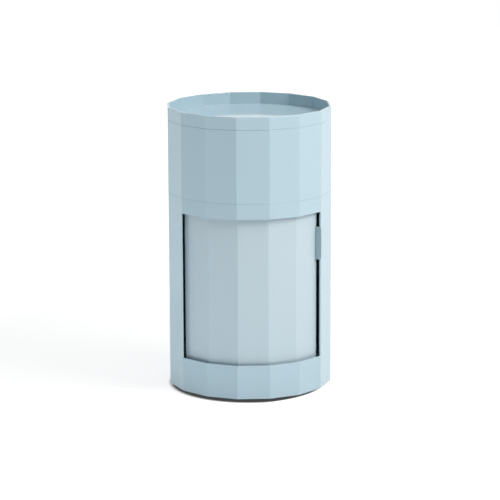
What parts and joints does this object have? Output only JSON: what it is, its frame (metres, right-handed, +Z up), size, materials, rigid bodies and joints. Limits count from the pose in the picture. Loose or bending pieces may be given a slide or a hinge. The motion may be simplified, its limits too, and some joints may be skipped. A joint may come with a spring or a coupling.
{
  "type": "mobile storage cabinet",
  "caption": "Faceted round steel storage cabinet on hidden castors, with a revolving curved door, an upper bin and a lift-off tray top.",
  "frame": {"origin": "on the floor, under the cabinet's vertical axis", "axes": "+Z up, -Y out of the door opening, +X to the right of someone facing the door"},
  "size_m": [0.353, 0.353, 0.6206],
  "materials": {
    "blue_powder_coat": "satin light blue powder coat on steel sheet",
    "door_powder_coat": "satin light blue powder coat on steel sheet",
    "zinc_plated_steel": "bright zinc plating",
    "white_nylon": "moulded nylon",
    "black_rubber": "matt moulded rubber",
    "dark_grey_polypropylene": "moulded polypropylene"
  },
  "bodies": {
    "cabinet": {"lower_shell": "blue_powder_coat", "upper_ring": "blue_powder_coat", "base_plate": "blue_powder_coat", "deck_plate": "blue_powder_coat", "base_bracket_1": "zinc_plated_steel", "base_bracket_2": "zinc_plated_steel", "base_bracket_3": "zinc_plated_steel", "base_bracket_4": "zinc_plated_steel", "bottom_track": "zinc_plated_steel", "top_track": "zinc_plated_steel", "deck_screw_1": "zinc_plated_steel", "deck_screw_2": "zinc_plated_steel", "deck_screw_3": "zinc_plated_steel", "deck_screw_4": "zinc_plated_steel", "deck_nut_1": "zinc_plated_steel", "deck_nut_2": "zinc_plated_steel", "deck_nut_3": "zinc_plated_steel", "deck_nut_4": "zinc_plated_steel", "door_stop_closed": "black_rubber", "door_stop_open": "black_rubber", "castor_stem_1": "zinc_plated_steel", "castor_stem_2": "zinc_plated_steel", "castor_stem_3": "zinc_plated_steel", "castor_stem_4": "zinc_plated_steel", "castor_nut_1": "zinc_plated_steel", "castor_nut_2": "zinc_plated_steel", "castor_nut_3": "zinc_plated_steel", "castor_nut_4": "zinc_plated_steel"},
    "door": {"door_panel": "door_powder_coat", "pull_tab": "door_powder_coat", "bottom_glide_1": "white_nylon", "bottom_glide_2": "white_nylon", "bottom_glide_3": "white_nylon", "top_glide_1": "white_nylon", "top_glide_2": "white_nylon", "top_glide_3": "white_nylon"},
    "tray": {"tray_top": "blue_powder_coat", "tray_locator": "blue_powder_coat"},
    "castor_1": {"castor_fork_1": "zinc_plated_steel", "castor_axle_1": "zinc_plated_steel"},
    "castor_2": {"castor_fork_2": "zinc_plated_steel", "castor_axle_2": "zinc_plated_steel"},
    "castor_3": {"castor_fork_3": "zinc_plated_steel", "castor_axle_3": "zinc_plated_steel"},
    "castor_4": {"castor_fork_4": "zinc_plated_steel", "castor_axle_4": "zinc_plated_steel"},
    "wheel_1": {"wheel_hub_1": "dark_grey_polypropylene", "wheel_tyre_1": "black_rubber"},
    "wheel_2": {"wheel_hub_2": "dark_grey_polypropylene", "wheel_tyre_2": "black_rubber"},
    "wheel_3": {"wheel_hub_3": "dark_grey_polypropylene", "wheel_tyre_3": "black_rubber"},
    "wheel_4": {"wheel_hub_4": "dark_grey_polypropylene", "wheel_tyre_4": "black_rubber"}
  },
  "joints": [
    {"name": "door_turn", "type": "hinge", "parent": "cabinet", "child": "door", "pos_m": [0, 0, 0.24], "axis": [0, 0, -1], "range_deg": [0, 108]},
    {"name": "tray_lift", "type": "slide", "parent": "cabinet", "child": "tray", "axis": [0, 0, 1], "range_m": [0, 0.12]},
    {"name": "castor_1_swivel", "type": "hinge", "parent": "cabinet", "child": "castor_1", "pos_m": [0.0792, 0.0792, 0.057], "axis": [0, 0, 1], "continuous": true},
    {"name": "castor_2_swivel", "type": "hinge", "parent": "cabinet", "child": "castor_2", "pos_m": [-0.0792, 0.0792, 0.057], "axis": [0, 0, 1], "continuous": true},
    {"name": "castor_3_swivel", "type": "hinge", "parent": "cabinet", "child": "castor_3", "pos_m": [-0.0792, -0.0792, 0.057], "axis": [0, 0, 1], "continuous": true},
    {"name": "castor_4_swivel", "type": "hinge", "parent": "cabinet", "child": "castor_4", "pos_m": [0.0792, -0.0792, 0.057], "axis": [0, 0, 1], "continuous": true},
    {"name": "wheel_1_spin", "type": "hinge", "parent": "castor_1", "child": "wheel_1", "pos_m": [0.06223, 0.09617, 0.02488], "axis": [0.7071, 0.7071, 0], "continuous": true},
    {"name": "wheel_2_spin", "type": "hinge", "parent": "castor_2", "child": "wheel_2", "pos_m": [-0.09617, 0.06223, 0.02488], "axis": [-0.7071, 0.7071, 0], "continuous": true},
    {"name": "wheel_3_spin", "type": "hinge", "parent": "castor_3", "child": "wheel_3", "pos_m": [-0.06223, -0.09617, 0.02488], "axis": [-0.7071, -0.7071, 0], "continuous": true},
    {"name": "wheel_4_spin", "type": "hinge", "parent": "castor_4", "child": "wheel_4", "pos_m": [0.09617, -0.06223, 0.02488], "axis": [0.7071, -0.7071, 0], "continuous": true}
  ]
}
